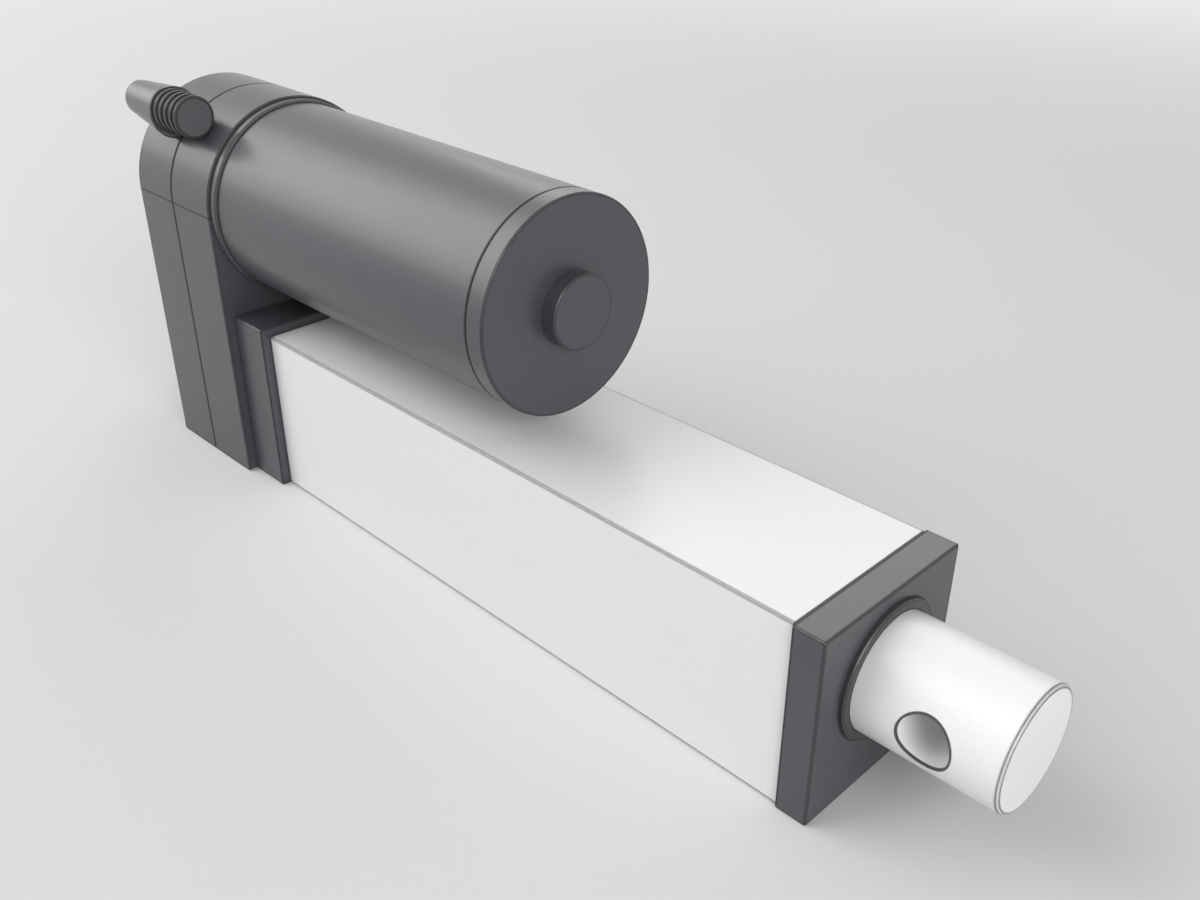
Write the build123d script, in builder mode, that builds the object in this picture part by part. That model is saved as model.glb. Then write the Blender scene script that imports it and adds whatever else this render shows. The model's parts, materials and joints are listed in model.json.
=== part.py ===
from build123d import *
from math import acos, atan2, cos, pi, radians, sin, sqrt, tan
import os

# Electric linear actuator with its motor lying above and parallel to the rod, in millimetres.
# The origin is the centre of the rear pivot hole. +X runs along the rod towards its eye,
# +Z points from the rod up to the motor, and the rod's axis is y = 0, z = 0.
# The rod is drawn fully retracted.

# Fits and clearances
fit_gap = 0.02           # radial gap of a pressed or located fit
running_gap = 0.04       # radial gap of a shaft that turns in its bearing
slide_gap = 0.05         # radial gap of the rod in its guide
nut_gap = 0.15           # gap between the sliding nut and the tube
thread_gap = 0.08        # radial gap between the nut and the plain-drawn screw
hole_gap = 0.1           # radial gap round the shank of a fastener
head_gap = 0.25          # gap round the head of a fastener
end_play = 0.3           # gap beside a part that turns or stops
edge_break = 0.3         # chamfer on outside edges

# Stroke and rod
stroke = 100.0
rod_radius = 12.2
rod_wall = 2.6
rod_end_spigot = 10.0    # solid rod end inside the rod tube
rod_joint_inset = 2.0    # joint of rod tube and rod end, behind the tube's front face
rod_exposed = 14.4       # collar face to the front pivot hole, retracted
pivot_radius = 5.1
pivot_to_rod_end = 14.4
rod_end_chamfer = 0.5

# Rear pivot lug
pivot_to_housing = 15.2
lug_radius = 11.0
lug_width = 22.0
lug_fillet = 2.0
pivot_bush_wall = 1.9
pivot_bush_proud = 0.3

# Gear housing, two halves
housing_half_width = 24.8
housing_lift = 0.3       # housing bottom above the tube's bottom face
rear_half_depth = 16.8
front_half_depth = 17.5
housing_wall = 2.6
end_wall = 3.0
gasket_thickness = 0.3
gasket_inset = 0.35
boss_radius = 3.6
boss_land = 0.4          # boss edge to the housing's outer face

# Housing screws
screw_radius = 1.5
screw_head_radius = 2.75
screw_head_height = 3.0
housing_screw_grip = 12.0     # thread in the front half
shoulder_screw_angle = 15.0   # degrees above the motor axis

# Adapter, tube and front cap
adapter_length = 12.3
adapter_side = 2.4            # adapter beyond the tube on each side
adapter_rise = 2.3            # adapter above the tube's top
adapter_spigot = 4.0
adapter_opening = 8.5
adapter_screw_y = 8.0
adapter_screw_top = 3.6       # upper screw centres below the adapter's top
adapter_screw_grip = 8.0
tube_width = 40.0
tube_height = 41.8
tube_drop = 3.6               # tube centre below the rod axis
tube_bore = 15.0
tube_corner = 0.5
port_inset = 4.0
tie_radius = 2.0
tie_head_radius = 3.5
tie_head_height = 4.0
tie_grip = 5.5                # thread in the front cap
cap_side = 0.75               # cap beyond the tube on each side
cap_thickness = 6.8
collar_radius = 14.2
collar_height = 1.0
collar_depth = 3.0
collar_chamfer = 0.35
bushing_wall = 1.35
bushing_length = 17.0         # part of the guide bushing inside the tube

# Room along the tube
rear_room = 11.2
front_room = 16.0
nut_flange = 18.0
nut_spigot = 12.0
nut_key_width = 8.0
nut_key_gap = 1.4             # under the nut's key, above the switch strip

# Limit switches in the channel under the rod
channel_width = 14.0
channel_floor = 2.5
strip_thickness = 1.6
strip_gap = 0.1
switch_length = 5.7
switch_width = 9.8
switch_height = 5.4
plunger_radius = 0.8
plunger_reach = 0.7

# Gears: motor pinion to idler gear, idler pinion to screw gear
stage1_module = 0.8
motor_pinion_teeth = 12
idler_gear_teeth = 40
stage2_module = 1.0
idler_pinion_teeth = 14
screw_gear_teeth = 36
pressure_angle = 25.0
addendum = 1.0
dedendum = 1.25
backlash = 0.16
idler_offset = 2.1            # idler axis, sideways
idler_pin_radius = 3.0
idler_pin_seat = 1.4          # metal left behind the pin's blind holes
idler_hub_radius = 5.0
idler_boss_radius = 5.5
idler_gear_width = 7.0
stage2_width = 10.0
face_overlap = 0.6            # pinions are wider than their gears on each side

# Lead screw and what sits on it
thread_radius = 6.0
journal_radius = 5.0
rear_journal_radius = 4.0
shoulder_radius = 7.0
shoulder_length = 2.0
rear_bush_wall = 3.0
rear_bush_length = 4.0
rear_boss_wall = 2.0
clip_thickness = 0.9
clip_depth = 0.6
clip_radius = 7.2
key_size = 3.0
spacer_radius = 6.8
bearing_radius = 13.0
bearing_width = 8.0
bearing_ring = 2.2
ball_radius = 1.7
ball_gap = 0.1
ball_count = 10
guide_disc_thickness = 3.0
guide_disc_gap = 0.3
guide_stub_radius = 3.0

# Motor
motor_radius = 23.5
motor_can_length = 92.0
motor_can_wall = 1.6
motor_flange_radius = 24.2
motor_flange_thickness = 2.6
motor_flange_chamfer = 0.45
motor_end_cap_length = 4.9
motor_boss_radius = 8.1
motor_boss_height = 3.8
motor_spigot = 4.0
motor_spigot_wall = 3.5
motor_shaft_radius = 2.5
motor_screw_grip = 5.0
motor_bearing_radius = 6.5
motor_bearing_width = 4.0
motor_bush_radius = 5.5
motor_bush_length = 5.0
shaft_opening = 6.2
stack_radius = 15.4
stack_length = 54.0
slot_count = 12
slot_width = 3.0
slot_floor = 8.6
coil_radius = 14.4
coil_length = 4.6
air_gap = 0.6
magnet_overhang = 2.0
magnet_parting = 14.0
commutator_radius = 6.0
commutator_length = 9.0
segment_slit = 0.4
segment_depth = 1.0
brush_plate_thickness = 2.5
brush_plate_opening = 8.0
brush_length = 8.9
brush_width = 4.4
brush_depth = 4.9
brush_holder_wall = 0.8
brush_gap = 0.1

# Cable gland on the left shoulder of the housing
gland_angle = 42.7            # degrees from the top of the housing's round end
gland_radius = 5.05
gland_clear = 0.1             # ribbed end above the shoulder
gland_inset = 0.8             # gland's rear end ahead of the housing's rear face
gland_barrel = 14.3
gland_rear_radius = 4.1
gland_rear_rise = 0.75        # rear end's centre above the ribbed end's
gland_end_round = 1.0
gland_foot_radius = 6.2
gland_foot_drop = 1.5         # foot's centre below the ribbed end's
gland_foot_sink = 1.2         # foot's flat underside below the shoulder
gland_nose_radius = 4.6
gland_nose_length = 1.4
gland_rib_count = 5
gland_rib_pitch = 2.36
gland_rib_depth = 0.5
gland_rib_share = 0.45        # rib's share of its pitch
gland_lip_chamfer = 0.35
gland_stub_radius = 2.4
gland_seal_radius = 3.4
gland_seal_depth = 5.0
gland_seal_flange = 4.4
gland_seal_lip = 0.8
gland_seal_recess = 0.1

# Stations along the rod
housing_rear = pivot_to_housing
seam = housing_rear + rear_half_depth
housing_front = seam + front_half_depth
adapter_front = housing_front + adapter_length
nut_rear = adapter_front + rear_room
nut_shoulder = nut_rear + nut_flange
nut_front = nut_shoulder + nut_spigot
bushing_rear = nut_shoulder + stroke + front_room
tube_front = bushing_rear + bushing_length
cap_front = tube_front + cap_thickness
collar_front = cap_front + collar_height
collar_rear = cap_front - collar_depth
rod_joint = tube_front - rod_joint_inset
rod_pivot_x = collar_front + rod_exposed
rod_end_x = rod_pivot_x + pivot_to_rod_end

# Heights and axes
tube_bottom = -tube_drop - tube_height / 2
tube_top = tube_bottom + tube_height
adapter_width = tube_width + 2 * adapter_side
adapter_top = tube_top + adapter_rise
housing_bottom = tube_bottom + housing_lift
stage1_distance = stage1_module * (motor_pinion_teeth + idler_gear_teeth) / 2
stage2_distance = stage2_module * (idler_pinion_teeth + screw_gear_teeth) / 2
idler_z = sqrt(stage2_distance**2 - idler_offset**2)
motor_z = idler_z + sqrt(stage1_distance**2 - idler_offset**2)
idler_centre = (idler_offset, idler_z)
motor_centre = (0, motor_z)

# Gear train stations, from the rear wall forward
rear_face_inside = housing_rear + end_wall
front_face_inside = housing_front - end_wall
bush_rear = rear_face_inside - end_wall / 2
bush_front = bush_rear + rear_bush_length
clip_rear = bush_front + end_play
screw_gear_rear = clip_rear + clip_thickness
screw_gear_front = screw_gear_rear + stage2_width
idler_rear = screw_gear_rear - face_overlap
idler_step = screw_gear_front + face_overlap
idler_front = idler_step + idler_gear_width
motor_pinion_rear = idler_step - face_overlap / 2
motor_pinion_front = idler_front + face_overlap
idler_boss_front = idler_rear - end_play
idler_boss_rear = idler_front + end_play
bearing_front = housing_front + bearing_width
thread_start = bearing_front + shoulder_length
screw_end = nut_front + stroke + end_play

# Hole patterns, as (y, z) points
screw_ring = housing_half_width - boss_radius - boss_land
housing_screw_points = [
    (side * screw_ring, z)
    for side in (-1, 1)
    for z in (housing_bottom + boss_radius + boss_land, idler_z / 2)
]
for angle in (shoulder_screw_angle, 90, 180 - shoulder_screw_angle):
    turn = radians(angle)
    housing_screw_points.append((screw_ring * cos(turn), motor_z + screw_ring * sin(turn)))
tie_points = [
    (side * (tube_width / 2 - port_inset), z)
    for side in (-1, 1)
    for z in (tube_bottom + port_inset, tube_top - port_inset)
]
adapter_screw_points = [
    (side * adapter_screw_y, z)
    for side in (-1, 1)
    for z in (
        housing_bottom + housing_wall + screw_head_radius + head_gap,
        adapter_top - adapter_screw_top,
    )
]
motor_screw_circle = screw_ring - boss_radius - screw_head_radius - head_gap
motor_screw_points = [
    (motor_screw_circle * cos(radians(angle)), motor_z + motor_screw_circle * sin(radians(angle)))
    for angle in (90, 210, 330)
]

# Cable gland frame: its barrel lies along X on the housing's round shoulder
gland_turn = radians(gland_angle)
gland_out = Vector(0, -sin(gland_turn), cos(gland_turn))
gland_reach = housing_half_width + gland_radius + gland_clear
gland_centre = (gland_reach * gland_out.Y, motor_z + gland_reach * gland_out.Z)
gland_rear = housing_rear + gland_inset
gland_ribs_start = gland_rear + gland_barrel
gland_front = gland_ribs_start + gland_rib_count * gland_rib_pitch
gland_stub_x = (gland_rear + gland_ribs_start) / 2
gland_mount = housing_half_width - gland_foot_sink


def bar(x_from, x_to, radius, centre=(0, 0), mode=Mode.ADD):
    """Round bar along X between two stations."""
    with BuildSketch(Plane.YZ.offset(x_from)) as section:
        with Locations(centre):
            Circle(radius)
    extrude(section.sketch, amount=x_to - x_from, mode=mode)


def bore(x_from, x_to, radius, centre=(0, 0)):
    """Round hole along X between two stations."""
    bar(x_from, x_to, radius, centre, Mode.SUBTRACT)


def block(x_from, x_to, y_size, z_from, z_to, y=0.0, mode=Mode.ADD):
    """Rectangular block between two stations and two heights."""
    with BuildSketch(Plane.YZ.offset(x_from)) as section:
        with Locations((y, (z_from + z_to) / 2)):
            Rectangle(y_size, z_to - z_from)
    extrude(section.sketch, amount=x_to - x_from, mode=mode)


def facing(x, points, way):
    """Hole locations on a face at station x that looks along way, +1 or -1, on X."""
    return Locations(*[Plane(origin=(x, y, z), z_dir=(way, 0, 0)) for y, z in points])


def cap_screws(points, x_head, head_radius, head_height, radius, x_tip):
    """Socket head screws with their heads' outer faces at x_head, pointing along +X."""
    for point in points:
        bar(x_head, x_head + head_height, head_radius, point)
        bar(x_head, x_tip, radius, point)
    with BuildSketch(Plane.YZ.offset(x_head)) as sockets:
        with Locations(*points):
            RegularPolygon(radius, 6)
    extrude(sockets.sketch, amount=head_height / 2, mode=Mode.SUBTRACT)


def housing_outline(inset, mode=Mode.ADD):
    """Flat-bottomed outline with a round top, drawn inwards by inset."""
    half = housing_half_width - inset
    low = housing_bottom + inset
    with BuildLine() as outline:
        Polyline((half, motor_z), (half, low), (-half, low), (-half, motor_z))
        ThreePointArc((-half, motor_z), (0, motor_z + half), (half, motor_z))
    return make_face(outline.edges(), mode=mode)


def gland_plane(height):
    """Plane square to the gland's radius, at a height above the motor axis."""
    return Plane(origin=(gland_stub_x, 0, motor_z), x_dir=(1, 0, 0), z_dir=gland_out).offset(height)


def gland_section(x, circles):
    """Face across the gland at station x, the hull of circles given as (rise, radius)."""
    with BuildSketch(Plane.YZ.offset(x)) as section:
        for rise, radius in circles:
            height = gland_reach + rise
            with Locations((height * gland_out.Y, motor_z + height * gland_out.Z)):
                Circle(radius)
        if len(circles) > 1:
            make_hull()
    return section.sketch.face()


def gland_shell(gap=0.0, mode=Mode.ADD):
    """Barrel that widens forward into a foot with a blunt nose, flat where it is let in."""
    foot = (-gland_foot_drop, gland_foot_radius + gap)
    nose = (-gland_foot_drop, gland_nose_radius + gap)
    barrel = (gland_rear_rise, gland_rear_radius + gap)
    with BuildPart() as shell:
        loft([gland_section(gland_rear - gap, [barrel]),
              gland_section(gland_ribs_start, [(0, gland_radius + gap), foot])], ruled=True)
        loft([gland_section(gland_ribs_start, [foot]),
              gland_section(gland_ribs_start + gland_nose_length + gap, [nose])], ruled=True)
        if not gap:
            fillet(shell.faces().sort_by(Axis.X)[0].edges(), gland_end_round)
        with BuildSketch(gland_plane(gland_mount + fit_gap - gap)) as below:
            Rectangle(housing_front, housing_front)
        extrude(below.sketch, amount=-housing_half_width, mode=Mode.SUBTRACT)
    add(shell.part, mode=mode)


def involute(angle):
    return tan(angle) - angle


def gear_outline(teeth, module, phase, centre):
    """Spur gear with involute flanks, one tooth centred at the angle phase."""
    pressure = radians(pressure_angle)
    pitch_radius = module * teeth / 2
    base_radius = pitch_radius * cos(pressure)
    tip_radius = pitch_radius + module * addendum
    root_radius = pitch_radius - module * dedendum
    flank_radius = max(root_radius, base_radius)
    pitch_half_tooth = (pi - backlash / module) / teeth / 2

    def half_tooth(radius):
        return pitch_half_tooth + involute(pressure) - involute(acos(base_radius / radius))

    def at(radius, angle):
        return (centre[0] + radius * cos(angle), centre[1] + radius * sin(angle))

    flank = [(radius, half_tooth(radius))
             for radius in (flank_radius, (flank_radius + tip_radius) / 2, tip_radius)]
    root_half = flank[0][1]
    with BuildLine() as outline:
        for tooth in range(teeth):
            middle = phase + 2 * pi * tooth / teeth
            rise = [at(radius, middle - half) for radius, half in flank]
            fall = [at(radius, middle + half) for radius, half in reversed(flank)]
            next_root = middle + 2 * pi / teeth - root_half
            if root_radius < base_radius:
                Line(at(root_radius, middle - root_half), rise[0])
                Line(fall[2], at(root_radius, middle + root_half))
            ThreePointArc(*rise)
            ThreePointArc(rise[2], at(tip_radius, middle), fall[0])
            ThreePointArc(*fall)
            ThreePointArc(at(root_radius, middle + root_half),
                          at(root_radius, middle + pi / teeth), at(root_radius, next_root))
    make_face(outline.edges())


def meshing_phase(teeth, phase, direction, other_teeth):
    """Phase of the gear that meshes with a gear of this phase, along a direction."""
    into_pitch = (direction - phase) * teeth / (2 * pi)
    return direction + pi - (0.5 - into_pitch) * 2 * pi / other_teeth


# Gear housing, rear half, with the rear pivot lug
with BuildPart() as rear_housing:
    with BuildSketch(Plane.YZ.offset(housing_rear)):
        housing_outline(0)
    extrude(amount=rear_half_depth - gasket_thickness / 2)
    chamfer(rear_housing.faces().sort_by(Axis.X)[0].edges(), edge_break)
    with BuildSketch(Plane.XZ):
        Circle(lug_radius)
        with Locations((pivot_to_housing / 2, 0)):
            Rectangle(pivot_to_housing, 2 * lug_radius)
    extrude(amount=lug_width / 2, both=True)
    lug_root = [
        edge for edge in rear_housing.edges()
        if abs(edge.center().X - housing_rear) < edge_break / 3
        and abs(edge.center().Y) < lug_width / 2 + edge_break
        and abs(edge.center().Z) < lug_radius + edge_break
    ]
    fillet(lug_root, lug_fillet)
    with BuildSketch(Plane.YZ.offset(rear_face_inside)):
        housing_outline(housing_wall)
    extrude(amount=rear_half_depth, mode=Mode.SUBTRACT)
    with BuildSketch(Plane.YZ.offset(rear_face_inside)):
        with Locations(*housing_screw_points):
            Circle(boss_radius)
    extrude(amount=seam - gasket_thickness / 2 - rear_face_inside)
    bar(rear_face_inside, bush_front, rear_journal_radius + rear_bush_wall + rear_boss_wall)
    bore(bush_rear, bush_front, rear_journal_radius + rear_bush_wall + fit_gap)
    bar(rear_face_inside, idler_boss_front, idler_boss_radius, idler_centre)
    bore(housing_rear + idler_pin_seat, idler_boss_front, idler_pin_radius + fit_gap, idler_centre)
    with facing(housing_rear, housing_screw_points, -1):
        CounterBoreHole(screw_radius + hole_gap, screw_head_radius + head_gap,
                        screw_head_height + head_gap, rear_half_depth)
    with Locations(Plane(origin=(0, 0, 0), z_dir=(0, 1, 0))):
        Hole(pivot_radius + pivot_bush_wall + fit_gap)
    gland_shell(fit_gap, Mode.SUBTRACT)
    with BuildSketch(gland_plane(housing_half_width - housing_wall)):
        Circle(gland_stub_radius + fit_gap)
    extrude(amount=housing_wall + gland_radius, both=True, mode=Mode.SUBTRACT)

with BuildPart() as pivot_bush:
    with BuildSketch(Plane.XZ):
        Circle(pivot_radius + pivot_bush_wall)
        Circle(pivot_radius, mode=Mode.SUBTRACT)
    extrude(amount=lug_width / 2 + pivot_bush_proud, both=True)

# Gear housing, front half
with BuildPart() as front_housing:
    with BuildSketch(Plane.YZ.offset(seam + gasket_thickness / 2)):
        housing_outline(0)
    extrude(amount=front_half_depth - gasket_thickness / 2)
    chamfer(front_housing.faces().sort_by(Axis.X)[-1].edges(), edge_break)
    with BuildSketch(Plane.YZ.offset(seam)):
        housing_outline(housing_wall)
    extrude(amount=front_face_inside - seam, mode=Mode.SUBTRACT)
    with BuildSketch(Plane.YZ.offset(seam + gasket_thickness / 2)):
        with Locations(*housing_screw_points):
            Circle(boss_radius)
    extrude(amount=front_face_inside - seam - gasket_thickness / 2)
    bar(idler_boss_rear, front_face_inside, idler_boss_radius, idler_centre)
    bore(idler_boss_rear, housing_front - idler_pin_seat, idler_pin_radius + fit_gap, idler_centre)
    with facing(seam + gasket_thickness / 2, housing_screw_points, -1):
        Hole(screw_radius + hole_gap, depth=housing_screw_grip)
    bore(front_face_inside, housing_front, spacer_radius + housing_wall / 2)
    bore(front_face_inside, housing_front, shaft_opening, motor_centre)
    with facing(housing_front, adapter_screw_points + motor_screw_points, 1):
        Hole(screw_radius + hole_gap, depth=end_wall)

with BuildPart() as housing_gasket:
    with BuildSketch(Plane.YZ.offset(seam - gasket_thickness / 2)):
        housing_outline(gasket_inset)
        housing_outline(housing_wall, Mode.SUBTRACT)
        with Locations(*housing_screw_points):
            Circle(boss_radius)
            Circle(screw_radius + hole_gap, mode=Mode.SUBTRACT)
    extrude(amount=gasket_thickness)

with BuildPart() as housing_screws:
    cap_screws(housing_screw_points, housing_rear + head_gap, screw_head_radius,
               screw_head_height, screw_radius, seam + housing_screw_grip)

# Cable gland: barrel with its foot and wire stub, and the rubber seal in its mouth
with BuildPart() as cable_gland:
    gland_shell()
    bar(gland_ribs_start, gland_front, gland_radius, gland_centre)
    chamfer(cable_gland.faces().sort_by(Axis.X)[-1].edges(), gland_lip_chamfer)
    for rib in range(gland_rib_count):
        groove_start = gland_ribs_start + rib * gland_rib_pitch
        groove_end = gland_ribs_start + (rib + 1 - gland_rib_share) * gland_rib_pitch
        with BuildSketch(Plane.YZ.offset(groove_start)):
            with Locations(gland_centre):
                Circle(gland_radius)
                Circle(gland_radius - gland_rib_depth, mode=Mode.SUBTRACT)
        extrude(amount=groove_end - groove_start, mode=Mode.SUBTRACT)
    with BuildSketch(gland_plane(housing_half_width - housing_wall)):
        Circle(gland_stub_radius)
    extrude(amount=gland_radius)
    bore(gland_front - gland_seal_depth, gland_front, gland_seal_radius + fit_gap, gland_centre)
    bore(gland_front - gland_seal_lip, gland_front, gland_seal_flange + fit_gap, gland_centre)

with BuildPart() as gland_seal:
    seal_front = gland_front - gland_seal_recess
    bar(gland_front - gland_seal_depth, seal_front, gland_seal_radius, gland_centre)
    bar(gland_front - gland_seal_lip, seal_front, gland_seal_flange, gland_centre)

# Adapter between the gear housing and the tube, with the main bearing's seat
with BuildPart() as tube_adapter:
    block(housing_front, adapter_front, adapter_width, tube_bottom, adapter_top)
    chamfer(tube_adapter.edges().filter_by(Axis.X), edge_break)
    bar(adapter_front, adapter_front + adapter_spigot, tube_bore - fit_gap)
    bore(housing_front, adapter_front + adapter_spigot, adapter_opening)
    bore(housing_front, bearing_front, bearing_radius + fit_gap)
    with facing(housing_front, tie_points, -1):
        CounterBoreHole(tie_radius + hole_gap, tie_head_radius + head_gap,
                        tie_head_height + head_gap, adapter_length)
    with facing(housing_front, adapter_screw_points, -1):
        Hole(screw_radius + hole_gap, depth=adapter_screw_grip + hole_gap)

with BuildPart() as adapter_screws:
    cap_screws(adapter_screw_points, front_face_inside - screw_head_height, screw_head_radius,
               screw_head_height, screw_radius, housing_front + adapter_screw_grip)

# Tube: a square extrusion with a round bore, corner ports and a switch channel
channel_bottom = tube_bottom + channel_floor
with BuildPart() as outer_tube:
    with BuildSketch(Plane.YZ.offset(adapter_front)):
        with Locations((0, -tube_drop)):
            RectangleRounded(tube_width, tube_height, tube_corner)
        Circle(tube_bore, mode=Mode.SUBTRACT)
        with Locations((0, channel_bottom / 2)):
            Rectangle(channel_width, -channel_bottom, mode=Mode.SUBTRACT)
        with Locations(*tie_points):
            Circle(tie_radius + hole_gap, mode=Mode.SUBTRACT)
    extrude(amount=tube_front - adapter_front)

with BuildPart() as tie_bolts:
    cap_screws(tie_points, housing_front + head_gap, tie_head_radius,
               tie_head_height, tie_radius, tube_front + tie_grip)

# Front cap, guide bushing and wiper collar
bushing_outer = rod_radius + slide_gap + bushing_wall
with BuildPart() as front_cap:
    block(tube_front, cap_front, tube_width + 2 * cap_side, tube_bottom, tube_top)
    chamfer(front_cap.edges().filter_by(Axis.X), edge_break)
    chamfer(front_cap.faces().sort_by(Axis.X)[-1].edges(), edge_break)
    bar(bushing_rear, tube_front, tube_bore - fit_gap)
    bore(bushing_rear, cap_front, bushing_outer + fit_gap)
    bore(collar_rear, cap_front, collar_radius + fit_gap)
    with facing(tube_front, tie_points, -1):
        Hole(tie_radius + hole_gap, depth=tie_grip + hole_gap)

with BuildPart() as guide_bushing:
    bar(bushing_rear, collar_rear, bushing_outer)
    bore(bushing_rear, collar_rear, rod_radius + slide_gap)

with BuildPart() as wiper_collar:
    bar(collar_rear, collar_front, collar_radius)
    chamfer(wiper_collar.faces().sort_by(Axis.X)[-1].edges(), collar_chamfer)
    bore(collar_rear, collar_front, rod_radius + slide_gap)

# Limit switches on their strip, in the channel under the rod
strip_top = channel_bottom + strip_thickness
key_bottom = strip_top + nut_key_gap
plunger_z = (key_bottom + strip_top + switch_height) / 2
with BuildPart() as switch_strip:
    block(adapter_front, bushing_rear - end_play, channel_width - 2 * strip_gap, channel_bottom, strip_top)

with BuildPart() as rear_switch:
    block(nut_rear - end_play - plunger_reach - switch_length, nut_rear - end_play - plunger_reach,
          switch_width, strip_top, strip_top + switch_height)
    bar(nut_rear - end_play - plunger_reach, nut_rear - end_play, plunger_radius, (0, plunger_z))

front_switch_rear = nut_shoulder + stroke + end_play
with BuildPart() as front_switch:
    block(front_switch_rear + plunger_reach, front_switch_rear + plunger_reach + switch_length,
          switch_width, strip_top, strip_top + switch_height)
    bar(front_switch_rear, front_switch_rear + plunger_reach, plunger_radius, (0, plunger_z))

# Rod: tube, solid end with the pivot hole, and the drive nut with its key
rod_bore = rod_radius - rod_wall
with BuildPart() as rod_tube:
    bar(nut_shoulder, rod_joint, rod_radius)
    bore(nut_shoulder, rod_joint, rod_bore)

with BuildPart() as rod_end:
    bar(rod_joint, rod_end_x, rod_radius)
    chamfer(rod_end.faces().sort_by(Axis.X)[-1].edges(), rod_end_chamfer)
    bar(rod_joint - rod_end_spigot, rod_joint, rod_bore - fit_gap)
    with Locations(Plane(origin=(rod_pivot_x, 0, 0), z_dir=(0, 1, 0))):
        Hole(pivot_radius)

with BuildPart() as drive_nut:
    bar(nut_rear, nut_shoulder, tube_bore - nut_gap)
    block(nut_rear, nut_shoulder, nut_key_width, key_bottom, 0)
    bar(nut_shoulder, nut_front, rod_bore - fit_gap)
    bore(nut_rear, nut_front, thread_radius + thread_gap)

# Lead screw
key_top = journal_radius + key_size / 2
with BuildPart() as lead_screw:
    bar(bush_rear + end_play, bush_front, rear_journal_radius)
    bar(bush_front, bearing_front, journal_radius)
    bar(bearing_front, thread_start, shoulder_radius)
    bar(thread_start, screw_end, thread_radius)
    bar(screw_end, screw_end + guide_disc_thickness, guide_stub_radius)
    with BuildSketch(Plane.YZ.offset(clip_rear)):
        Circle(journal_radius)
        Circle(journal_radius - clip_depth, mode=Mode.SUBTRACT)
    extrude(amount=clip_thickness, mode=Mode.SUBTRACT)
    block(screw_gear_rear, screw_gear_front, key_size, key_top - key_size, key_top, mode=Mode.SUBTRACT)

with BuildPart() as gear_key:
    block(screw_gear_rear, screw_gear_front, key_size - 2 * fit_gap,
          key_top - key_size + fit_gap, key_top)

with BuildPart() as gear_clip:
    bar(clip_rear, screw_gear_rear, clip_radius)
    bore(clip_rear, screw_gear_rear, journal_radius - clip_depth + fit_gap)
    block(clip_rear, screw_gear_rear, journal_radius, -clip_radius, 0, mode=Mode.SUBTRACT)

with BuildPart() as gear_spacer:
    bar(screw_gear_front, housing_front, spacer_radius)
    bore(screw_gear_front, housing_front, journal_radius + fit_gap)

with BuildPart() as rear_screw_bush:
    bar(bush_rear, bush_front, rear_journal_radius + rear_bush_wall)
    bore(bush_rear, bush_front, rear_journal_radius + running_gap)

with BuildPart() as screw_guide:
    bar(screw_end, screw_end + guide_disc_thickness, rod_bore - guide_disc_gap)
    bore(screw_end, screw_end + guide_disc_thickness, guide_stub_radius + fit_gap)

# Main ball bearing in the adapter
ball_circle = (bearing_radius - bearing_ring + journal_radius + bearing_ring) / 2
bearing_middle = (housing_front + bearing_front) / 2
race_radius = ball_radius + ball_gap
with BuildPart() as bearing_outer_ring:
    bar(housing_front, bearing_front, bearing_radius)
    bore(housing_front, bearing_front, bearing_radius - bearing_ring)
    with Locations(Plane(origin=(bearing_middle, 0, 0), z_dir=(1, 0, 0))):
        Torus(ball_circle, race_radius, mode=Mode.SUBTRACT)

with BuildPart() as bearing_inner_ring:
    bar(housing_front, bearing_front, journal_radius + bearing_ring)
    bore(housing_front, bearing_front, journal_radius + fit_gap)
    with Locations(Plane(origin=(bearing_middle, 0, 0), z_dir=(1, 0, 0))):
        Torus(ball_circle, race_radius, mode=Mode.SUBTRACT)

with BuildPart() as bearing_balls:
    with Locations(Plane(origin=(bearing_middle, 0, 0), z_dir=(1, 0, 0))):
        with PolarLocations(ball_circle, ball_count):
            Sphere(ball_radius)

# Gears, in mesh
to_screw = atan2(-idler_z, -idler_offset)
to_motor = atan2(motor_z - idler_z, -idler_offset)
screw_gear_phase = meshing_phase(idler_pinion_teeth, 0, to_screw, screw_gear_teeth)
motor_pinion_phase = meshing_phase(idler_gear_teeth, 0, to_motor, motor_pinion_teeth)

with BuildPart() as screw_gear:
    with BuildSketch(Plane.YZ.offset(screw_gear_rear)):
        gear_outline(screw_gear_teeth, stage2_module, screw_gear_phase, (0, 0))
    extrude(amount=stage2_width)
    bore(screw_gear_rear, screw_gear_front, journal_radius + fit_gap)
    block(screw_gear_rear, screw_gear_front, key_size, 0, key_top + fit_gap, mode=Mode.SUBTRACT)

with BuildPart() as idler_pinion:
    with BuildSketch(Plane.YZ.offset(idler_rear)):
        gear_outline(idler_pinion_teeth, stage2_module, 0, idler_centre)
    extrude(amount=idler_step - idler_rear)
    bar(idler_step, idler_front, idler_hub_radius, idler_centre)
    bore(idler_rear, idler_front, idler_pin_radius + running_gap, idler_centre)

with BuildPart() as idler_gear:
    with BuildSketch(Plane.YZ.offset(idler_step)):
        gear_outline(idler_gear_teeth, stage1_module, 0, idler_centre)
    extrude(amount=idler_gear_width)
    bore(idler_step, idler_front, idler_hub_radius + fit_gap, idler_centre)

with BuildPart() as idler_pin:
    bar(housing_rear + idler_pin_seat, housing_front - idler_pin_seat, idler_pin_radius, idler_centre)

with BuildPart() as motor_pinion:
    with BuildSketch(Plane.YZ.offset(motor_pinion_rear)):
        gear_outline(motor_pinion_teeth, stage1_module, motor_pinion_phase, motor_centre)
    extrude(amount=motor_pinion_front - motor_pinion_rear)
    bore(motor_pinion_rear, motor_pinion_front, motor_shaft_radius + fit_gap, motor_centre)

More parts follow.
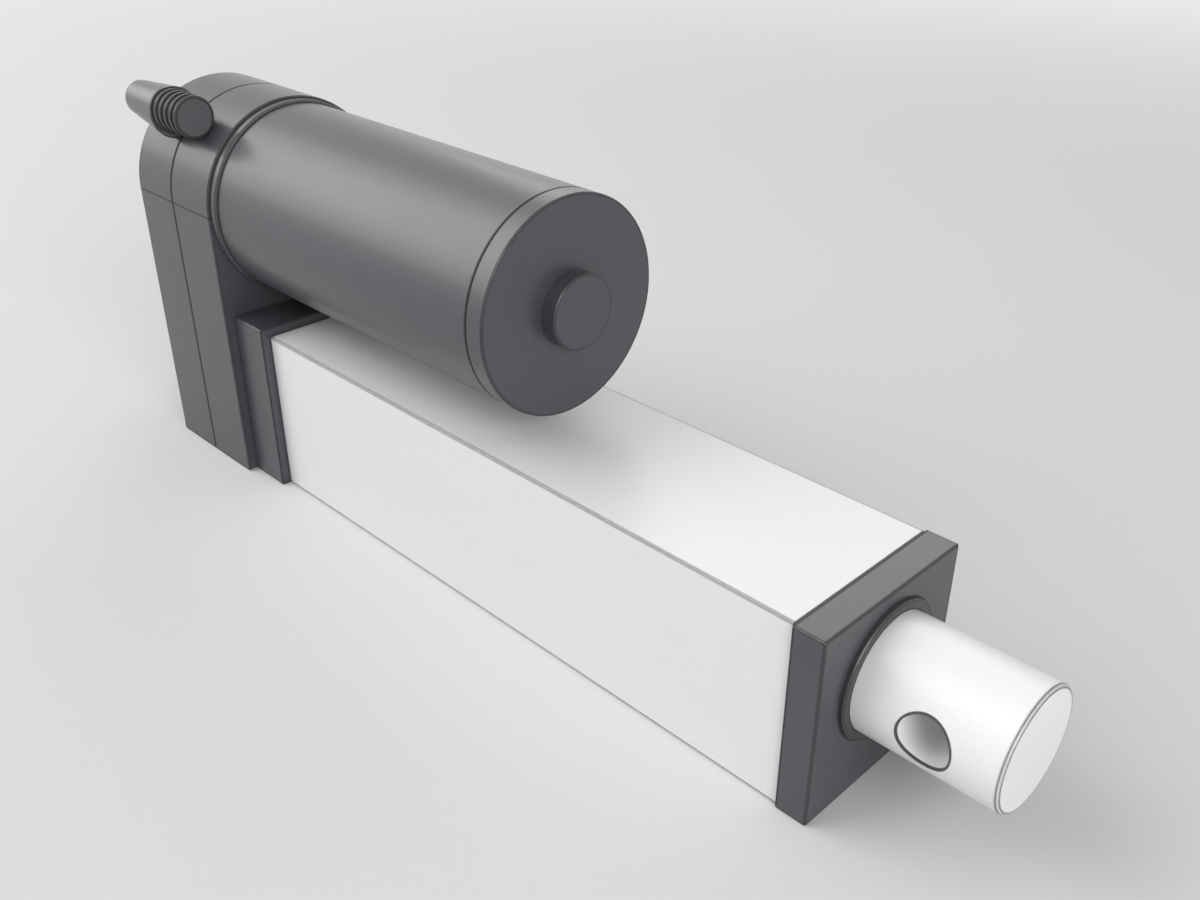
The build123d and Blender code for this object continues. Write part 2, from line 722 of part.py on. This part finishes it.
# Motor stations
flange_front = housing_front + motor_flange_thickness
can_front = flange_front + motor_can_length
end_cap_front = can_front + motor_end_cap_length
boss_front = end_cap_front + motor_boss_height
can_bore = motor_radius - motor_can_wall
plate_rear = flange_front + motor_spigot + end_play
plate_front = plate_rear + brush_plate_thickness
commutator_rear = plate_front - brush_plate_thickness / 2
commutator_front = commutator_rear + commutator_length
stack_rear = commutator_front + coil_length
stack_front = stack_rear + stack_length
coil_front = stack_front + coil_length
motor_bush_front = boss_front - motor_boss_height / 2
motor_bush_rear = motor_bush_front - motor_bush_length

# Motor casing
with BuildPart() as motor_flange:
    bar(housing_front, flange_front, motor_flange_radius, motor_centre)
    chamfer(motor_flange.edges(), motor_flange_chamfer)
    bar(flange_front, flange_front + motor_spigot, can_bore - fit_gap, motor_centre)
    bore(housing_front, flange_front + motor_spigot, motor_shaft_radius + head_gap, motor_centre)
    bore(flange_front, flange_front + motor_bearing_width, motor_bearing_radius + fit_gap, motor_centre)
    with facing(housing_front, motor_screw_points, -1):
        Hole(screw_radius + hole_gap, depth=motor_screw_grip + hole_gap)

with BuildPart() as motor_can:
    bar(flange_front, can_front, motor_radius, motor_centre)
    bore(flange_front, can_front, can_bore, motor_centre)

with BuildPart() as motor_end_cap:
    bar(can_front, end_cap_front, motor_radius, motor_centre)
    chamfer(motor_end_cap.edges(), edge_break)
    bar(end_cap_front, boss_front, motor_boss_radius, motor_centre)
    chamfer(motor_end_cap.faces().sort_by(Axis.X)[-1].edges(), edge_break)
    bar(can_front - motor_spigot, can_front, can_bore - fit_gap, motor_centre)
    bore(can_front - motor_spigot, can_front, can_bore - motor_spigot_wall, motor_centre)
    bore(can_front, motor_bush_front, motor_bush_radius + fit_gap, motor_centre)

with BuildPart() as motor_screws:
    cap_screws(motor_screw_points, front_face_inside - screw_head_height, screw_head_radius,
               screw_head_height, screw_radius, housing_front + motor_screw_grip)

with BuildPart() as motor_bearing:
    bar(flange_front, flange_front + motor_bearing_width, motor_bearing_radius, motor_centre)
    bore(flange_front, flange_front + motor_bearing_width, motor_shaft_radius + running_gap, motor_centre)

with BuildPart() as motor_bush:
    bar(motor_bush_rear, motor_bush_front, motor_bush_radius, motor_centre)
    bore(motor_bush_rear, motor_bush_front, motor_shaft_radius + running_gap, motor_centre)

with BuildPart() as motor_magnets:
    with BuildSketch(Plane.YZ.offset(stack_rear - magnet_overhang)):
        with Locations(motor_centre):
            Circle(can_bore - fit_gap)
            Circle(stack_radius + air_gap, mode=Mode.SUBTRACT)
            Rectangle(magnet_parting, 2 * can_bore, mode=Mode.SUBTRACT)
    extrude(amount=stack_length + 2 * magnet_overhang)

# Brush gear
holder_width = brush_width + 2 * brush_gap + 2 * brush_holder_wall
holder_depth = brush_depth + 2 * brush_gap + brush_holder_wall
brush_inner = commutator_radius + brush_gap
with BuildPart() as brush_plate:
    bar(plate_rear, plate_front, can_bore - fit_gap, motor_centre)
    bore(plate_rear, plate_front, brush_plate_opening, motor_centre)
    for side in (-1, 1):
        holder_y = side * (brush_plate_opening + brush_length / 2)
        brush_y = side * (brush_inner + brush_length / 2)
        block(plate_front, plate_front + holder_depth, brush_length, motor_z - holder_width / 2,
              motor_z + holder_width / 2, holder_y)
        block(plate_front, plate_front + brush_depth + 2 * brush_gap, 2 * brush_length,
              motor_z - brush_width / 2 - brush_gap, motor_z + brush_width / 2 + brush_gap,
              brush_y, Mode.SUBTRACT)

with BuildPart() as brushes:
    for side in (-1, 1):
        block(plate_front + brush_gap, plate_front + brush_gap + brush_depth, brush_length,
              motor_z - brush_width / 2, motor_z + brush_width / 2,
              side * (brush_inner + brush_length / 2))

# Armature
with BuildPart() as motor_shaft:
    bar(motor_pinion_rear, motor_bush_front - end_play, motor_shaft_radius, motor_centre)

with BuildPart() as armature_stack:
    with BuildSketch(Plane.YZ.offset(stack_rear)):
        with Locations(motor_centre):
            Circle(stack_radius)
            Circle(motor_shaft_radius + fit_gap, mode=Mode.SUBTRACT)
            with PolarLocations((slot_floor + stack_radius + slot_width) / 2, slot_count):
                Rectangle(stack_radius + slot_width - slot_floor, slot_width, mode=Mode.SUBTRACT)
    extrude(amount=stack_length)

with BuildPart() as armature_coils:
    for x_from, x_to in ((commutator_front, stack_rear), (stack_front, coil_front)):
        bar(x_from, x_to, coil_radius, motor_centre)
    with BuildSketch(Plane.YZ.offset(stack_rear)):
        with Locations(motor_centre):
            with PolarLocations((slot_floor + coil_radius) / 2, slot_count):
                Rectangle(coil_radius - slot_floor - 2 * fit_gap, slot_width - 2 * fit_gap)
    extrude(amount=stack_length)
    bore(commutator_front, coil_front, motor_shaft_radius + fit_gap, motor_centre)

with BuildPart() as commutator:
    with BuildSketch(Plane.YZ.offset(commutator_rear)):
        with Locations(motor_centre):
            Circle(commutator_radius)
            Circle(motor_shaft_radius + fit_gap, mode=Mode.SUBTRACT)
            with PolarLocations(commutator_radius - segment_depth / 2, slot_count):
                Rectangle(segment_depth * 2, segment_slit, mode=Mode.SUBTRACT)
    extrude(amount=commutator_length)

pieces = {
    "rear_housing": rear_housing,
    "pivot_bush": pivot_bush,
    "front_housing": front_housing,
    "housing_gasket": housing_gasket,
    "housing_screws": housing_screws,
    "cable_gland": cable_gland,
    "gland_seal": gland_seal,
    "tube_adapter": tube_adapter,
    "adapter_screws": adapter_screws,
    "outer_tube": outer_tube,
    "tie_bolts": tie_bolts,
    "front_cap": front_cap,
    "guide_bushing": guide_bushing,
    "wiper_collar": wiper_collar,
    "switch_strip": switch_strip,
    "rear_switch": rear_switch,
    "front_switch": front_switch,
    "rod_tube": rod_tube,
    "rod_end": rod_end,
    "drive_nut": drive_nut,
    "lead_screw": lead_screw,
    "gear_key": gear_key,
    "gear_clip": gear_clip,
    "gear_spacer": gear_spacer,
    "rear_screw_bush": rear_screw_bush,
    "screw_guide": screw_guide,
    "bearing_outer_ring": bearing_outer_ring,
    "bearing_inner_ring": bearing_inner_ring,
    "bearing_balls": bearing_balls,
    "screw_gear": screw_gear,
    "idler_pinion": idler_pinion,
    "idler_gear": idler_gear,
    "idler_pin": idler_pin,
    "motor_pinion": motor_pinion,
    "motor_flange": motor_flange,
    "motor_can": motor_can,
    "motor_end_cap": motor_end_cap,
    "motor_screws": motor_screws,
    "motor_bearing": motor_bearing,
    "motor_bush": motor_bush,
    "motor_magnets": motor_magnets,
    "brush_plate": brush_plate,
    "brushes": brushes,
    "motor_shaft": motor_shaft,
    "armature_stack": armature_stack,
    "armature_coils": armature_coils,
    "commutator": commutator,
}

os.makedirs("parts", exist_ok=True)
for label, piece in pieces.items():
    piece.part.label = label
    export_step(piece.part, f"parts/{label}.step")
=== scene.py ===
import json
import math

import bpy
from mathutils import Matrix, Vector


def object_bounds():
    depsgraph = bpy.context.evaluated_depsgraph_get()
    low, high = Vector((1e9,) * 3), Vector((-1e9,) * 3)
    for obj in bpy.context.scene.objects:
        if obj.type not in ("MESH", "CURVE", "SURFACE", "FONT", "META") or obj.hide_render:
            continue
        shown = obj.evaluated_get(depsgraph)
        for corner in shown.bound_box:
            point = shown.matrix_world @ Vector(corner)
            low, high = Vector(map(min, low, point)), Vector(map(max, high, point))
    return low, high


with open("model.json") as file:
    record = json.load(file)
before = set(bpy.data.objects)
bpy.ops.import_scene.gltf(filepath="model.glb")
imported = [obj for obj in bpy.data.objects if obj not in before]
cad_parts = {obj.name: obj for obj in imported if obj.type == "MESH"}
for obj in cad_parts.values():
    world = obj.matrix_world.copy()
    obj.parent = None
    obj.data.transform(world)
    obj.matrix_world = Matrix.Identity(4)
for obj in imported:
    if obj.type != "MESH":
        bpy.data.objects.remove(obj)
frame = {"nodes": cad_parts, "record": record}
cad_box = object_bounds()
nodes = frame["nodes"]
MM = 0.001


def add_node(tree, kind, inputs=None, **settings):
    """New shader node. An input is a value, or the socket of another node that is linked to it."""
    node = tree.nodes.new("ShaderNode" + kind)
    for name, value in settings.items():
        setattr(node, name, value)
    for name, value in (inputs or {}).items():
        if isinstance(value, bpy.types.NodeSocket):
            tree.links.new(value, node.inputs[name])
        else:
            node.inputs[name].default_value = value
    return node


def add_object(name, data):
    thing = bpy.data.objects.new(name, data)
    bpy.context.scene.collection.objects.link(thing)
    return thing


# Materials. Each is worked out from positions on the object, so its grain has a real size. Sizes,
# reaches, pitches and depths are given in millimetres.

coat_roughness = 0.2
rounding_samples = 4

# Dark lines. An edge line grows as the share of free depth under the surface falls from clear to
# full, and a level line fades out at line_fade times its half width.
ink = (0.012, 0.012, 0.014)
pale_ink = (0.03, 0.03, 0.035)
line_strength = 0.95
line_dullness = 0.5
line_fade = 1.6
edge_clear = 0.99
edge_full = 0.88
edge_samples = 8


class Surface:
    """Material round one Principled shader.

    A mask is a socket that is 1 where something is and 0 elsewhere. tint, roughen and raise_by add
    masks to the look, and finish links the result to the shader.
    """

    def __init__(self, name, colour, roughness, metallic=0.0, specular=0.5, coat=0.0):
        self.material = bpy.data.materials.new(name)
        self.material.use_nodes = True
        self.tree = self.material.node_tree
        self.tree.nodes.clear()
        self.shader = self.add("BsdfPrincipled", {
            "Metallic": metallic, "Specular IOR Level": specular,
            "Coat Weight": coat, "Coat Roughness": coat_roughness})
        self.output = self.add("OutputMaterial", {"Surface": self.shader.outputs["BSDF"]})
        self.place = self.add("TexCoord").outputs["Object"]
        self.base = colour
        self.colour = self.rgb(colour)
        self.roughness = roughness
        self.rough = None
        self.height = None

    def add(self, kind, inputs=None, **settings):
        return add_node(self.tree, kind, inputs, **settings)

    def rgb(self, colour):
        node = self.add("RGB")
        node.outputs[0].default_value = (*colour, 1.0)
        return node.outputs[0]

    def shade(self, factor, lift=0.0):
        """The material's own colour, darker or lighter."""
        return tuple(min(1.0, part * factor + lift) for part in self.base)

    def maths(self, operation, a, b=None, clamp=False):
        inputs = {0: a} if b is None else {0: a, 1: b}
        return self.add("Math", inputs, operation=operation, use_clamp=clamp).outputs[0]

    def coordinates(self):
        """The place's coordinates, as outputs named X, Y and Z."""
        return self.add("SeparateXYZ", {0: self.place}).outputs

    def ramp(self, value, low, high, out_low=0.0, out_high=1.0):
        return self.add("MapRange", {
            "Value": value, "From Min": low, "From Max": high,
            "To Min": out_low, "To Max": out_high}).outputs["Result"]

    def noise(self, size, detail, stretch=(1, 1, 1)):
        """Noise from 0 to 1 whose spots are about one size across."""
        place = self.add("Mapping", {"Vector": self.place, "Scale": stretch}).outputs[0]
        return self.add("TexNoise", {
            "Vector": place, "Scale": 1 / (size * MM), "Detail": detail}).outputs["Fac"]

    def spots(self, size, low, high):
        """Small round spots that fade from low to high, as shares of the size of their cells."""
        cells = self.add("TexVoronoi", {"Vector": self.place, "Scale": 1 / (size * MM)})
        return self.ramp(cells.outputs["Distance"], low, high, 1.0, 0.0)

    def bands(self, axis, pitch):
        """Even bands along one axis, from 0 to 1."""
        return self.add("TexWave", {"Vector": self.place, "Scale": math.pi / 10 / (pitch * MM)},
                        wave_type="BANDS", bands_direction=axis,
                        wave_profile="SIN").outputs["Fac"]

    def tint(self, mask, colour, amount):
        """Mixes the colour towards another by a mask times an amount."""
        self.colour = self.add("Mix", {
            "Factor": self.maths("MULTIPLY", mask, amount),
            "A": self.colour, "B": self.rgb(colour)}, data_type="RGBA").outputs["Result"]

    def roughen(self, mask, amount, centre=0.5):
        """Adds to the roughness: nothing where the mask is at its centre, amount at one above."""
        step = self.maths("MULTIPLY", self.maths("SUBTRACT", mask, centre), amount)
        self.rough = step if self.rough is None else self.maths("ADD", self.rough, step)

    def raise_by(self, mask, depth):
        """Adds a relief of the given depth where the mask is 1."""
        step = self.maths("MULTIPLY", mask, depth * MM)
        self.height = step if self.height is None else self.maths("ADD", self.height, step)

    def ink(self, mask, colour):
        """Dark dull lines where the mask is 1."""
        self.tint(mask, colour, line_strength)
        self.roughen(mask, line_dullness, centre=0.0)

    def ink_edges(self, reach, colour):
        """Thin line along the outer edges, where the piece is thinner than reach on one side."""
        depth = self.add("AmbientOcclusion", {"Distance": reach * MM},
                         inside=True, only_local=True, samples=edge_samples)
        self.ink(self.ramp(depth.outputs["AO"], edge_clear, edge_full), colour)

    def level_line(self, height, half_width, beyond):
        """Mask of a thin level line at one height, where it is further than beyond from y = 0."""
        along = self.coordinates()
        away = self.maths("ABSOLUTE", self.maths("SUBTRACT", along["Z"], height * MM))
        line = self.ramp(away, half_width * MM, line_fade * half_width * MM, 1.0, 0.0)
        side = self.maths("GREATER_THAN", self.maths("ABSOLUTE", along["Y"]), beyond * MM)
        return self.maths("MULTIPLY", line, side)

    def finish(self, rounding=0.0):
        """Links colour, roughness and relief. rounding is the radius that sharp edges show."""
        tree, inputs = self.tree, self.shader.inputs
        tree.links.new(self.colour, inputs["Base Color"])
        if self.rough is None:
            inputs["Roughness"].default_value = self.roughness
        else:
            total = self.maths("ADD", self.rough, self.roughness, clamp=True)
            tree.links.new(total, inputs["Roughness"])
        normal = None
        if rounding:
            normal = self.add("Bevel", {"Radius": rounding * MM},
                              samples=rounding_samples).outputs["Normal"]
        if self.height is not None:
            relief = {"Height": self.height, "Strength": 1.0, "Distance": 1.0}
            if normal is not None:
                relief["Normal"] = normal
            normal = self.add("Bump", relief).outputs["Normal"]
        if normal is not None:
            tree.links.new(normal, inputs["Normal"])
        return self.material


def painted_metal(name, colour, roughness, edge_reach, peel=0.6, seam=None):
    """Satin paint: handling marks, dust in the coat, dark edge lines and orange peel."""
    surface = Surface(name, colour, roughness, specular=0.7, coat=0.25)
    surface.tint(surface.noise(size=26, detail=4), surface.shade(0.8), amount=0.10)
    surface.tint(surface.noise(size=0.5, detail=2), surface.shade(1.25, lift=0.01), amount=0.14)
    surface.ink_edges(edge_reach, ink)
    if seam:
        line = surface.level_line(*seam)
        surface.ink(line, ink)
        surface.raise_by(line, depth=-0.02)
    surface.roughen(surface.noise(size=14, detail=5), amount=0.06)
    surface.roughen(surface.noise(size=0.4, detail=2), amount=0.06)
    surface.raise_by(surface.noise(size=peel, detail=2), depth=0.005)
    surface.raise_by(surface.spots(size=1.1, low=0.05, high=0.16), depth=0.002)
    return surface.finish()


def extruded(name, colour, roughness, edge_reach):
    """White coat on an extrusion or a drawn rod: faint lines along X under the finish."""
    surface = Surface(name, colour, roughness, coat=0.1)
    drawn_lines = surface.noise(size=0.7, detail=3, stretch=(0.02, 1, 1))
    surface.tint(drawn_lines, surface.shade(0.98), amount=0.4)
    surface.tint(surface.noise(size=38, detail=4), surface.shade(0.965), amount=0.4)
    surface.ink_edges(edge_reach, pale_ink)
    surface.roughen(surface.noise(size=0.5, detail=3, stretch=(0.03, 1, 1)), amount=0.06)
    surface.raise_by(surface.noise(size=0.4, detail=2), depth=0.0012)
    surface.raise_by(surface.noise(size=0.6, detail=3, stretch=(0.02, 1, 1)), depth=0.0006)
    return surface.finish()


def moulded(name, colour, roughness, grain):
    """Moulded plastic or rubber with a fine spark-eroded grain."""
    surface = Surface(name, colour, roughness, specular=0.4)
    surface.tint(surface.noise(size=9, detail=4), surface.shade(0.7), amount=0.3)
    surface.tint(surface.noise(size=grain, detail=2), surface.shade(1.35, lift=0.01), amount=0.25)
    surface.roughen(surface.noise(size=3, detail=3), amount=0.12)
    surface.raise_by(surface.noise(size=grain, detail=2), depth=0.008)
    return surface.finish(rounding=0.2)


def machined(name, colour, roughness):
    """Turned, ground or drawn metal with fine tool lines round X."""
    surface = Surface(name, colour, roughness, metallic=1.0)
    tool_lines = surface.noise(size=0.18, detail=3, stretch=(1, 0.04, 0.04))
    surface.tint(tool_lines, surface.shade(0.68), amount=0.35)
    surface.tint(surface.noise(size=8, detail=4), surface.shade(0.8), amount=0.25)
    surface.roughen(tool_lines, amount=0.2)
    surface.raise_by(tool_lines, depth=0.003)
    return surface.finish(rounding=0.15)


def sintered(name, colour, pore, roughness, metallic=1.0):
    """Pressed powder: dull grains with small dark pores."""
    surface = Surface(name, colour, roughness, metallic=metallic)
    surface.tint(surface.noise(size=0.3, detail=4), surface.shade(0.6), amount=0.5)
    surface.tint(surface.spots(size=0.45, low=0.05, high=0.2), pore, amount=0.8)
    surface.raise_by(surface.spots(size=0.45, low=0.05, high=0.25), depth=-0.02)
    surface.roughen(surface.noise(size=0.3, detail=3), amount=0.2)
    return surface.finish()


def threaded(name, colour, roughness, lead):
    """Rolled screw: a helical relief round the rod's axis that climbs by lead in each turn."""
    surface = Surface(name, colour, roughness, metallic=1.0)
    along = surface.coordinates()
    angle = surface.maths("ARCTAN2", along["Z"], along["Y"])
    turn = surface.maths("DIVIDE", angle, 2 * math.pi)
    climb = surface.maths("DIVIDE", along["X"], lead * MM)
    wave = surface.maths("PINGPONG", surface.maths("ADD", climb, turn), 0.5)
    ridge = surface.ramp(wave, 0.12, 0.38)
    # Painted shade: the colour darkens in the thread's grooves, where shade falls.
    painted_groove_shade = surface.ramp(ridge, 1.0, 0.0)
    surface.tint(painted_groove_shade, surface.shade(0.35), amount=0.5)
    rolled_lines = surface.noise(size=0.4, detail=3, stretch=(0.2, 1, 1))
    surface.tint(rolled_lines, surface.shade(0.7), amount=0.2)
    surface.raise_by(ridge, depth=0.9)
    surface.roughen(surface.noise(size=1.2, detail=3), amount=0.12)
    return surface.finish()


def laminated(name, colour, gap_colour, roughness, metallic, axis, pitch, depth=0.03):
    """Stacked sheets or wound wire: bands along an axis with a dark line between them."""
    surface = Surface(name, colour, roughness, metallic=metallic)
    gaps = surface.ramp(surface.bands(axis, pitch), 0.25, 0.0)
    surface.tint(gaps, gap_colour, amount=0.75)
    surface.tint(surface.noise(size=2.5, detail=3), surface.shade(0.7), amount=0.3)
    surface.raise_by(gaps, -depth)
    surface.roughen(surface.noise(size=1.0, detail=3), amount=0.14)
    return surface.finish()


def printed_board(name, colour, track_colour, roughness, track_pitch):
    """Circuit board with copper tracks along it under green lacquer."""
    surface = Surface(name, colour, roughness)
    tracks = surface.ramp(surface.bands("Y", track_pitch), 0.82, 0.9)
    surface.tint(tracks, track_colour, amount=0.75)
    surface.tint(surface.noise(size=0.5, detail=2), surface.shade(0.6), amount=0.3)
    surface.raise_by(tracks, depth=0.03)
    surface.roughen(surface.noise(size=2.0, detail=3), amount=0.1)
    return surface.finish()


grey_paint = (0.043, 0.045, 0.051)
screw_lead = 4.0

# The line across the housing where its flat sides meet the round top, level with the motor's axis.
motor_axis_height = 45.6
seam_half_width = 0.17
seam_beyond = 23.5

for node in nodes.values():
    node.data.materials.clear()
for material in list(bpy.data.materials):
    bpy.data.materials.remove(material)

materials = {material.name: material for material in (
    painted_metal("housing_grey", grey_paint, roughness=0.42, edge_reach=0.5,
                  seam=(motor_axis_height, seam_half_width, seam_beyond)),
    painted_metal("motor_grey", grey_paint, roughness=0.42, edge_reach=0.5, peel=0.9),
    extruded("tube_white", (0.77, 0.779, 0.79), roughness=0.38, edge_reach=0.6),
    extruded("rod_white", (0.82, 0.825, 0.83), roughness=0.36, edge_reach=0.55),
    painted_metal("collar_dark", (0.026, 0.027, 0.031), roughness=0.46, edge_reach=0.35),
    painted_metal("gland_grey", (0.08, 0.082, 0.088), roughness=0.36, edge_reach=0.8, peel=0.35),
    moulded("seal_rubber", (0.09, 0.092, 0.098), roughness=0.5, grain=0.25),
    moulded("gasket_rubber", (0.02, 0.02, 0.022), roughness=0.7, grain=0.3),
    machined("screw_steel", (0.50, 0.50, 0.51), roughness=0.34),
    sintered("bush_bronze", (0.58, 0.40, 0.20), (0.06, 0.04, 0.02), roughness=0.42),
    machined("bearing_steel", (0.66, 0.66, 0.67), roughness=0.18),
    machined("gear_steel", (0.48, 0.48, 0.49), roughness=0.3),
    moulded("gear_nylon", (0.80, 0.77, 0.68), roughness=0.36, grain=0.5),
    threaded("screw_shaft_steel", (0.52, 0.52, 0.53), roughness=0.28, lead=screw_lead),
    moulded("nut_acetal", (0.05, 0.05, 0.055), roughness=0.36, grain=0.4),
    moulded("guide_plastic", (0.74, 0.71, 0.62), roughness=0.42, grain=0.4),
    printed_board("strip_green", (0.02, 0.14, 0.06), (0.12, 0.34, 0.14), roughness=0.3,
                  track_pitch=2.4),
    moulded("switch_black", (0.02, 0.02, 0.021), roughness=0.3, grain=0.4),
    sintered("magnet_ferrite", (0.10, 0.10, 0.105), (0.02, 0.02, 0.02), roughness=0.6,
             metallic=0.2),
    laminated("lamination_steel", (0.36, 0.36, 0.37), (0.04, 0.04, 0.045), roughness=0.42,
              metallic=1.0, axis="X", pitch=0.5),
    laminated("copper", (0.72, 0.30, 0.14), (0.16, 0.05, 0.02), roughness=0.3,
              metallic=1.0, axis="X", pitch=0.6),
    sintered("brush_carbon", (0.035, 0.035, 0.037), (0.01, 0.01, 0.01), roughness=0.7,
             metallic=0.1),
    laminated("brush_plate_brown", (0.20, 0.10, 0.045), (0.10, 0.05, 0.02), roughness=0.55,
              metallic=0.0, axis="Z", pitch=0.4, depth=0.005),
)}
slots = {part["node"]: part.get("material_slot", part["node"])
         for part in frame["record"]["subparts"]}
for name, node in nodes.items():
    node.data.materials.append(materials[slots[name]])


# Floor and world: pale and plain, and the world brighter to the camera than as a light on the
# object. The floor keeps the object's shadow and fades into the backdrop further away. Lengths
# from here on are in metres.

ambient_colour = (1.0, 1.0, 1.0, 1.0)
ambient_strength = 0.2
backdrop_colour = (0.88, 0.88, 0.89, 1.0)
paper_colour = (0.67, 0.67, 0.68)
paper_shade = (0.6, 0.6, 0.61)
floor_half = 4.0
fade_start = 0.32
fade_end = 1.1


def seen_rays(tree):
    """1 where the camera sees the place directly, mirrored or through something clear."""
    path = add_node(tree, "LightPath").outputs
    seen = path["Is Camera Ray"]
    for name in ("Is Glossy Ray", "Is Transmission Ray"):
        seen = add_node(tree, "Math", {0: seen, 1: path[name]}, operation="MAXIMUM").outputs[0]
    return seen


world = bpy.data.worlds.new("world")
bpy.context.scene.world = world
world.use_nodes = True
sky = world.node_tree
sky.nodes.clear()
ambient = add_node(sky, "Background", {"Color": ambient_colour, "Strength": ambient_strength})
backdrop = add_node(sky, "Background", {"Color": backdrop_colour, "Strength": 1.0})
choice = add_node(sky, "MixShader", {
    "Fac": seen_rays(sky), 1: ambient.outputs[0], 2: backdrop.outputs[0]})
add_node(sky, "OutputWorld", {"Surface": choice.outputs[0]})

floor_level = cad_box[0][2]
floor_corners = [(x * floor_half, y * floor_half, floor_level)
                 for x, y in ((-1, -1), (1, -1), (1, 1), (-1, 1))]
floor_mesh = bpy.data.meshes.new("floor")
floor_mesh.from_pydata(floor_corners, [], [(0, 1, 2, 3)])
floor = add_object("floor", floor_mesh)

paper = Surface("floor_paper", paper_colour, roughness=0.9, specular=0.1)
paper.tint(paper.noise(size=60, detail=3), paper_shade, amount=0.05)
paper.finish()
away = paper.add("VectorMath", {0: paper.place}, operation="LENGTH").outputs["Value"]
fade = paper.ramp(away, fade_start, fade_end)
fade.node.interpolation_type = "SMOOTHSTEP"
far_floor = paper.add("Emission", {"Color": backdrop_colour})
blend = paper.add("MixShader", {
    "Fac": paper.maths("MULTIPLY", fade, seen_rays(paper.tree)),
    1: paper.shader.outputs["BSDF"], 2: far_floor.outputs[0]})
paper.tree.links.new(blend.outputs[0], paper.output.inputs["Surface"])
floor_mesh.materials.append(paper.material)


# Soft studio light: two large boxes from the left that draw the broad highlight along the motor,
# one above, one in front of the rod end, and one behind that lights the tops at a low angle.

target = Vector((0.1, 0.0, 0.01))


def softbox(name, direction, distance, size, power):
    """Square lamp that stands in a direction from the target and faces it, with power in watts."""
    data = bpy.data.lights.new(name, "AREA")
    data.shape = "SQUARE"
    data.size = size
    data.energy = power
    light = add_object(name, data)
    light.location = target + Vector(direction).normalized() * distance
    light.rotation_euler = (target - light.location).to_track_quat("-Z", "Y").to_euler()


softbox("key", (-0.6, -0.55, 0.6), distance=1.3, size=1.3, power=9.1)
softbox("high_key", (-0.6, -0.33, 0.72), distance=1.3, size=1.3, power=6.9)
softbox("top", (0.1, 0.05, 1.0), distance=1.4, size=1.3, power=2.0)
softbox("end", (0.9, -0.35, 0.4), distance=1.4, size=0.8, power=11.5)
softbox("back", (-0.42, 0.68, 0.6), distance=1.4, size=1.0, power=4.4)

# The photo's camera, solved from the object's straight edges and circles.

camera_data = bpy.data.cameras.new("camera")
camera_data.sensor_fit = "HORIZONTAL"
camera_data.sensor_width = 36.0
camera_data.lens = 36.775
camera_data.shift_x = -0.01617
camera_data.shift_y = 0.00227
camera_data.clip_start = 0.01
camera = add_object("camera", camera_data)
camera.location = (0.31684, -0.15805, 0.14359)
camera.rotation_euler = (1.05107, -0.00814, 0.77591)
bpy.context.scene.camera = camera
bpy.context.scene.view_settings.view_transform = "Standard"
